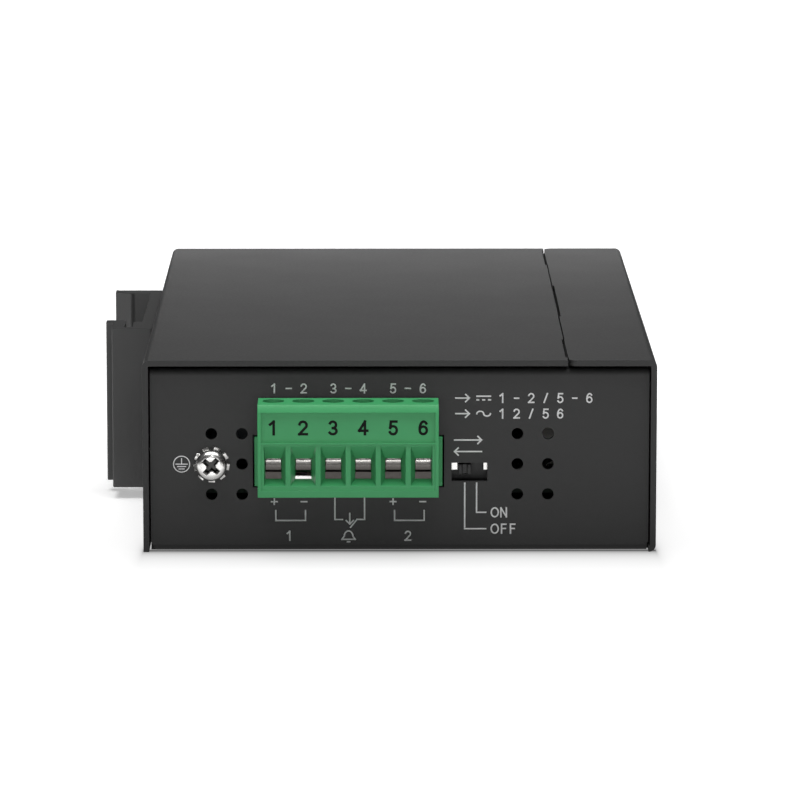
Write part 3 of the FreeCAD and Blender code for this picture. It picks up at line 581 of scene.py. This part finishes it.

# Painted shade: the cages' steel is coloured almost black; only the second pole's cage stays bright zinc.
shaded_cage = Finish("shade_painted_cage", {"Metallic": 1.0})
cage_lines = shaded_cage.noise(grain=0.14 * mm, stretch=(10, 1, 1))
cage_cloud = shaded_cage.noise(grain=0.7 * mm)
shaded_cage.paint(color=shaded_cage.between(cage_cloud, (0.055, 0.050, 0.047), (0.085, 0.079, 0.074)),
                 roughness=cage_lines * 0.16 + 0.28, height=cage_lines, depth=0.006 * mm)
slot_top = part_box("clamp_screw_1")[1].z
slot_shade_from = slot_top - 0.60 * mm
slot_shade_to = slot_top - 0.15 * mm
dull_zinc = Finish("dull_zinc", {"Metallic": 1.0})
dull_cloud = dull_zinc.noise(grain=0.6 * mm, detail=3.0)
# Painted shade: the screws' colour turns dark towards the foot of the slot.
slot_shade = dull_zinc.rise(dull_zinc.along(dull_zinc.place, "Z"), slot_shade_from, slot_shade_to)
zinc_tone_and_slot_shade = slot_shade * (dull_cloud * 0.4 + 0.6)
dull_zinc.paint(color=dull_zinc.between(zinc_tone_and_slot_shade, grey(0.012), (0.155, 0.152, 0.145)),
                roughness=dull_cloud * 0.16 + 0.28)
for n in range(1, pole_count + 1):
    cage_finish = zinc if n == bright_pole else shaded_cage
    eased("clamp_cage_%d" % n, "clamp_cage_%d" % n, cage_finish, clamp_edge)
    eased("clamp_screw_%d" % n, "clamp_screw_%d" % n, dull_zinc, clamp_edge)

# Mode switch
# A slide switch at the board's edge: a bright nickel shell, bent from sheet around a black moulded body.
# Its black nylon knob slides in a window punched in the panel.
shell_edge = 0.06 * mm
knob_edge = 0.15 * mm
black = Finish("black_nylon", {"Specular IOR Level": 0.45})
black_grain = black.noise(grain=0.18 * mm, detail=3.0)
black_cloud = black.noise(grain=4 * mm)
black.paint(color=black.between(black_cloud, grey(0.012), grey(0.020)),
            roughness=black_grain * 0.12 + 0.36, height=black_grain, depth=0.005 * mm)
eased("switch_frame", "housing", nickel, shell_edge)
dress(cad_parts["switch_body"], black)
eased("switch_knob", "switch_knob", black, knob_edge)

# Copper ports
# Two shielded modular sockets, soldered to the board behind the port wall. Each has a shield folded from
# nickel-plated sheet, a black moulded insert and eight gilt contact wires.
insert_edge = 0.12 * mm
gold = mottled("gilt_contact", {"Metallic": 1.0}, spots={"grain": 0.4 * mm},
               dark=(0.80, 0.56, 0.20), light=(0.90, 0.66, 0.28), rough=(0.18, 0.28))
shield = Finish("nickel_shield", {"Metallic": 1.0})
shield_lines = shield.noise(grain=0.10 * mm, stretch=(30, 1, 1))
shield_cloud = shield.noise(grain=3 * mm)
shield.paint(color=shield.between(shield_cloud, (0.58, 0.57, 0.54), (0.70, 0.69, 0.66)),
             roughness=shield_lines * 0.16 + 0.26, height=shield_lines, depth=0.003 * mm)
for n in (1, 2):
    dress(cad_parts["jack_shield_%d" % n], shield)
    eased("jack_insert_%d" % n, "housing", black, insert_edge)
    dress(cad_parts["jack_contacts_%d" % n], gold)

# Fibre module ports
# Two cages for plug-in fibre modules, folded from nickel-plated sheet and pressed into the board.
# Each has a black moulded card socket at its back.
for n in (1, 2):
    dress(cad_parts["sfp_cage_%d" % n], shield)
    dress(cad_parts["sfp_socket_%d" % n], black)

# Status lights
# Six lights with white lenses are soldered to the board. One clear guide, moulded in acrylic, leads them
# to six holes in the port wall.
clear = mottled("clear_guide", {"Transmission Weight": 0.85, "IOR": 1.49}, spots={"grain": 1.5 * mm},
                dark=(0.86, 0.90, 0.88), light=(0.95, 0.97, 0.96), rough=(0.10, 0.22))
dress(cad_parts["light_guide"], clear)
white = mottled("white_lens", {"Specular IOR Level": 0.5}, spots={"grain": 0.5 * mm},
                dark=(0.66, 0.66, 0.62), light=(0.78, 0.78, 0.74), rough=(0.35, 0.50))
dress(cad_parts["status_leds"], white)

# Circuit board and its parts
# A glass-fibre board lacquered in a green so dark that it is almost black, darkened to keep the panel's
# holes in shade, with a relay, a transformer, a choke, rectifiers, capacitors, chips, a crystal and a
# finned heat sink.
track_step = 9 * mm
board = Finish("board_lacquer", {"Specular IOR Level": 0.08})
track = board.node("ShaderNodeTexBrick", {"offset": 0.37, "squash": 0.7},
                   {"Vector": board.place, "Scale": 1 / track_step,
                    "Mortar Size": 0.04, "Mortar Smooth": 0.1}, "Fac")
board_cloud = board.noise(grain=4 * mm)
# Painted shade: the lacquer is kept almost black, so that the board stays dark behind the panel's holes.
board.paint(color=board.between(track, (0.002, 0.006, 0.003), (0.004, 0.012, 0.006)),
            roughness=board_cloud * 0.12 + 0.50, height=track, depth=0.02 * mm)
dress(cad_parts["main_board"], board)
relay = mottled("relay_case", {"Specular IOR Level": 0.5}, spots={"grain": 0.3 * mm, "detail": 3.0},
                dark=(0.045, 0.060, 0.075), light=(0.060, 0.078, 0.095), rough=(0.35, 0.50))
dress(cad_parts["alarm_relay"], relay)
tape = mottled("yellow_tape", {"Specular IOR Level": 0.4}, spots={"grain": 0.6 * mm, "stretch": (8, 8, 1)},
               dark=(0.62, 0.40, 0.04), light=(0.74, 0.50, 0.07), rough=(0.35, 0.55), depth=0.03 * mm)
dress(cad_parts["power_transformer"], tape)
ferrite = mottled("dark_ferrite", {"Specular IOR Level": 0.3}, spots={"grain": 0.25 * mm, "detail": 4.0},
                  dark=grey(0.020), light=grey(0.045), rough=(0.60, 0.80), depth=0.03 * mm)
dress(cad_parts["power_choke"], ferrite)
sleeve = mottled("capacitor_sleeve", {"Specular IOR Level": 0.5}, spots={"grain": 2 * mm},
                 dark=(0.020, 0.022, 0.060), light=(0.030, 0.033, 0.080), rough=(0.25, 0.35))
dress(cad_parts["bulk_capacitors"], sleeve)
for chip in ("rectifiers", "memory_chips", "switch_chip"):
    dress(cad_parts[chip], black)
dress(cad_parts["crystal_can"], shield)
dress(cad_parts["heat_sink"], anodised)

# Panel print
# White screen-printed marks on the terminal panel: the earth sign, the poles' signs and numbers, the
# alarm's contact and bell, a row for each kind of supply, and the switch's two positions.
white_ink = mottled("white_ink", {"Specular IOR Level": 0.3}, spots={"grain": 0.12 * mm, "detail": 3.0},
                    dark=grey(0.78), light=grey(0.92), rough=(0.45, 0.65))

panel_face = washer_high.y
line_width = 0.25 * mm
earth_width = 0.17 * mm
figure_width = 0.26 * mm
lines = []
figures = []

earth_at = Vector((washer_at.x - 5.12 * mm, washer_at.z))
earth_ring = 1.38 * mm
earth_stem = 0.95 * mm
earth_bars = (0.95 * mm, 0.69 * mm, 0.43 * mm)
earth_step = 0.42 * mm
ring_steps = 48
earth_lines = [arc(earth_at, earth_ring, earth_ring, steps=ring_steps),
               [earth_at + Vector((0, earth_stem)), earth_at]]
for n, half in enumerate(earth_bars):
    level = earth_at.y - n * earth_step
    earth_lines.append([(earth_at.x - half, level), (earth_at.x + half, level)])

# Every mark around the plug keeps its distance from the plug's lower edge.
sign_level = plug_low.z - 2.55 * mm
bracket_top = plug_low.z - 4.10 * mm
bracket_shift = 0.25 * mm
bracket_low = plug_low.z - 5.82 * mm
figure_level = plug_low.z - 8.50 * mm
figure_height = 1.55 * mm
sign_half = 0.48 * mm
supply_poles = (0, 4)
for n, first in enumerate(supply_poles):
    left = pole_at[first]
    right = pole_at[first + 1]
    bracket = (left + bracket_shift, right + bracket_shift)
    lines.append([(bracket[0], bracket_top), (bracket[0], bracket_low),
                  (bracket[1], bracket_low), (bracket[1], bracket_top)])
    lines.append([(left - sign_half, sign_level), (left + sign_half, sign_level)])
    lines.append([(left, sign_level - sign_half), (left, sign_level + sign_half)])
    lines.append([(right - sign_half, sign_level), (right + sign_half, sign_level)])
    figures += figure(str(n + 1), ((left + right) / 2, figure_level), figure_height)

alarm_left, alarm_right = pole_at[2:4]
contact_top = plug_low.z - 1.5 * mm
contact_low = plug_low.z - 5.66 * mm
contact_shift = 0.2 * mm
contact_left = alarm_left + contact_shift
contact_right = alarm_right + contact_shift
stub = 1.3 * mm
blade = (1.1 * mm, 1.35 * mm)
lines.append([(contact_left, contact_top), (contact_left, contact_low),
              (contact_left + stub, contact_low)])
lines.append([(contact_right, contact_top), (contact_right, contact_low),
              (contact_right - stub, contact_low),
              (contact_right - stub - blade[0], contact_low - blade[1])])
arrow_barb = 0.62 * mm


def arrow(tail, tip):
    # A shaft and a two-sided tip between two points given as X and Z.
    tail, tip = Vector(tail), Vector(tip)
    back = (tail - tip).normalized() * arrow_barb
    side = Vector((-back.y, back.x))
    return [[tail, tip], [tip + back + side, tip, tip + back - side]]


arrow_x = contact_left + 2.55 * mm
arrow_tip = plug_low.z - 6.45 * mm
arrow_long = 1.85 * mm
lines += arrow((arrow_x, arrow_tip + arrow_long), (arrow_x, arrow_tip))

bell_x = (alarm_left + alarm_right) / 2
bell_low = figure_level - 0.62 * mm
bell_brim = 1.15 * mm
bell_half = 0.74 * mm
bell_side = 0.55 * mm
bell_dome = 0.90 * mm
bell_tongue = 0.20 * mm
bell_drop = 0.42 * mm
lines.append([(bell_x + bell_brim, bell_low),
              *arc((bell_x, bell_low + bell_side), bell_half, bell_dome, 0, 180),
              (bell_x - bell_brim, bell_low), (bell_x + bell_brim, bell_low)])
lines.append([(bell_x - bell_tongue, bell_low - bell_drop),
              (bell_x + bell_tongue, bell_low - bell_drop)])

# The switch: two opposite arrows above it, and a lead from each place of the knob to its word.
knob_low, knob_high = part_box("switch_knob")
knob_x = (knob_low.x + knob_high.x) / 2
arrow_ends = (knob_x - 1.75 * mm, knob_x + 2.85 * mm)
arrow_levels = (knob_high.z + 4.25 * mm, knob_high.z + 2.25 * mm)
lines += arrow((arrow_ends[0], arrow_levels[0]), (arrow_ends[1], arrow_levels[0]))
lines += arrow((arrow_ends[1], arrow_levels[1]), (arrow_ends[0], arrow_levels[1]))
lead_top = plug_low.z + 0.65 * mm
lead_ends = (plug_low.z - 7.29 * mm, plug_low.z - 4.43 * mm)
lead_right = knob_x + 3.6 * mm
knob_travel = 2.03 * mm
word_gap = 1.55 * mm
letter_step = 1.52 * mm
for n, word in enumerate(("OFF", "ON")):
    lead_x = knob_x + n * knob_travel
    lines.append([(lead_x, lead_top), (lead_x, lead_ends[n]), (lead_right, lead_ends[n])])
    for place, letter in enumerate(word):
        letter_x = lead_right + word_gap + place * letter_step
        figures += figure(letter, (letter_x, lead_ends[n]), figure_height)

# Rows of plain figures: the poles in pairs over the plug, and the pairs for each kind of supply beside it.
row_height = 1.50 * mm
pair_level = plug_high.z + 1.30 * mm
dash_half = 0.42 * mm
for n, pole in enumerate(pole_at):
    figures += figure(str(n + 1), (pole, pair_level), row_height)
for first in range(0, pole_count, 2):
    middle = (pole_at[first] + pole_at[first + 1]) / 2
    lines.append([(middle - dash_half, pair_level), (middle + dash_half, pair_level)])

row_left = knob_x - 1.55 * mm
sign_wide = 2.3 * mm
direct_left = row_left + 3.6 * mm
figures_left = row_left + 7.9 * mm
row_step = 1.24 * mm
direct_level = plug_high.z - 0.38 * mm
wave_level = plug_high.z - 3.08 * mm
for signs, level in (("1 - 2 / 5 - 6", direct_level), ("1 2 / 5 6", wave_level)):
    lines += arrow((row_left, level), (row_left + sign_wide, level))
    for place, sign in enumerate(signs):
        if sign != " ":
            figures += figure(sign, (figures_left + place * row_step, level), row_height)
direct_gap = 0.32 * mm
direct_dash = 0.28 * mm
dash_count = 3
direct_top = direct_level + direct_gap
direct_low = direct_level - direct_gap
lines.append([(direct_left, direct_top), (direct_left + sign_wide, direct_top)])
for n in range(dash_count):
    dash_left = direct_left + n * (sign_wide - direct_dash) / (dash_count - 1)
    lines.append([(dash_left, direct_low), (dash_left + direct_dash, direct_low)])
wave_half = sign_wide / 4
wave_tall = 0.42 * mm
lines.append([*arc((direct_left + wave_half, wave_level), wave_half, wave_tall, 180, 0),
              *arc((direct_left + 3 * wave_half, wave_level), wave_half, wave_tall, 180, 360)[1:]])

panel_print = join([printed("print_lines", lines, line_width, panel_face),
                    printed("print_figures", figures, figure_width, panel_face),
                    printed("print_earth", earth_lines, earth_width, panel_face)], "panel_print")
dress(panel_print, white_ink)
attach(panel_print, "housing")

# The view
# A pale floor under soft studio light, seen through a long lens at the photograph's angle.
# A large box hangs over the front and a low card behind lights the top. In front, a small box gives the
# metal its gloss, and a low card lights the panel under the plug.
floor_size = 8.0
floor_near = 0.10
floor_far = 0.55
near_glow = 0.42
far_glow = 1.0
foot_fade = 2.0 * mm
side_fade = 10
floor_tone = 0.86
front_tone = 0.08
front_reach = 55 * mm
glow_share = 0.7
bpy.ops.object.select_all(action="DESELECT")
bpy.ops.mesh.primitive_plane_add(size=floor_size)
floor = new_piece("floor")
pale = Finish("pale_floor", {"Roughness": 1.0, "Specular IOR Level": 0.0, "Emission Strength": 1.0})
glow = pale.rise(pale.length(pale.place), floor_near, floor_far) * (far_glow - near_glow) + near_glow
# Along the terminal panel's foot the floor is darker, so that it throws less light back onto the panel,
# and its glow sinks there: a painted contact shadow beside the case's own shadow.
foot_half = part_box("base_chassis")[1].x
from_foot = pale.vector("ABSOLUTE", pale.vector("SUBTRACT", pale.place, (0, panel_face, 0)))
past_foot = pale.vector("MAXIMUM", pale.vector("SUBTRACT", from_foot, (foot_half, 0, 0)))
fading = pale.length(pale.vector("MULTIPLY", past_foot, (side_fade, 1, 1)))
# A painted contact shadow: the glow fades to nothing at the panel's foot and returns within a few
# millimetres.
painted_foot_shadow = fading / (fading + foot_fade)
open_floor = pale.rise(pale.length(past_foot), 0.0, front_reach)
# For the camera alone, a share of the light that the darker floor swallows is made up by glow.
seen_straight = pale.node("ShaderNodeLightPath", {}, {}, "Is Camera Ray")
seen_gloss = pale.node("ShaderNodeLightPath", {}, {}, "Is Glossy Ray")
seen_through = pale.node("ShaderNodeLightPath", {}, {}, "Is Transmission Ray")
made_up = (1 - open_floor) * (floor_tone - front_tone) * glow_share
shown = seen_straight * (glow + made_up) * painted_foot_shadow + (seen_gloss + seen_through) * near_glow
pale.feed(pale.surface, {"Base Color": pale.between(open_floor, grey(front_tone), grey(floor_tone)),
                         "Emission Color": pale.between(shown, grey(0), grey(1))})
dress(floor, pale)

room_light = 0.06
world = bpy.data.worlds.new("studio")
bpy.context.scene.world = world
world.use_nodes = True
world.node_tree.nodes["Background"].inputs["Color"].default_value = (*grey(1), 1)
world.node_tree.nodes["Background"].inputs["Strength"].default_value = room_light


def soft_box(name, place, aim, size, power):
    # A glowing rectangle that faces the aim and is not seen itself; lengths in metres, power in watts.
    lamp = bpy.data.lights.new(name, "AREA")
    lamp.shape = "RECTANGLE"
    lamp.size, lamp.size_y = size
    lamp.energy = power
    holder = bpy.data.objects.new(name, lamp)
    bpy.context.collection.objects.link(holder)
    holder.location = place
    holder.rotation_euler = (Vector(aim) - Vector(place)).to_track_quat("-Z", "Y").to_euler()
    holder.visible_camera = False


soft_box("over_box", place=(0, -0.17, 0.85), aim=(0, -0.04, 0), size=(0.90, 0.60), power=8.5)
soft_box("back_card", place=(0, 0.17, 0.047), aim=(0, 0, 0.047), size=(0.13, 0.03), power=0.0275)
soft_box("gloss_box", place=(0.03, -0.92, 0.56), aim=(0, -0.07, 0.02), size=(0.22, 0.07), power=0.55)
soft_box("front_card", place=(0, -0.95, 0.06), aim=(0, -0.07, 0.017), size=(0.40, 0.12), power=0.55)

scene = bpy.context.scene
scene.view_settings.view_transform = "Standard"
camera_at = Vector((-3.9437, -942.288, 177.356)) * mm
camera_tilt = math.radians(9.7904)
camera_turn = math.radians(0.26174)
lens = bpy.data.cameras.new("photo_lens")
lens.sensor_width = 36.0
lens.lens = 234.53
camera = bpy.data.objects.new("photo_camera", lens)
bpy.context.collection.objects.link(camera)
camera.location = camera_at
camera.rotation_euler = (quarter_turn - camera_tilt, 0, -camera_turn)
scene.camera = camera
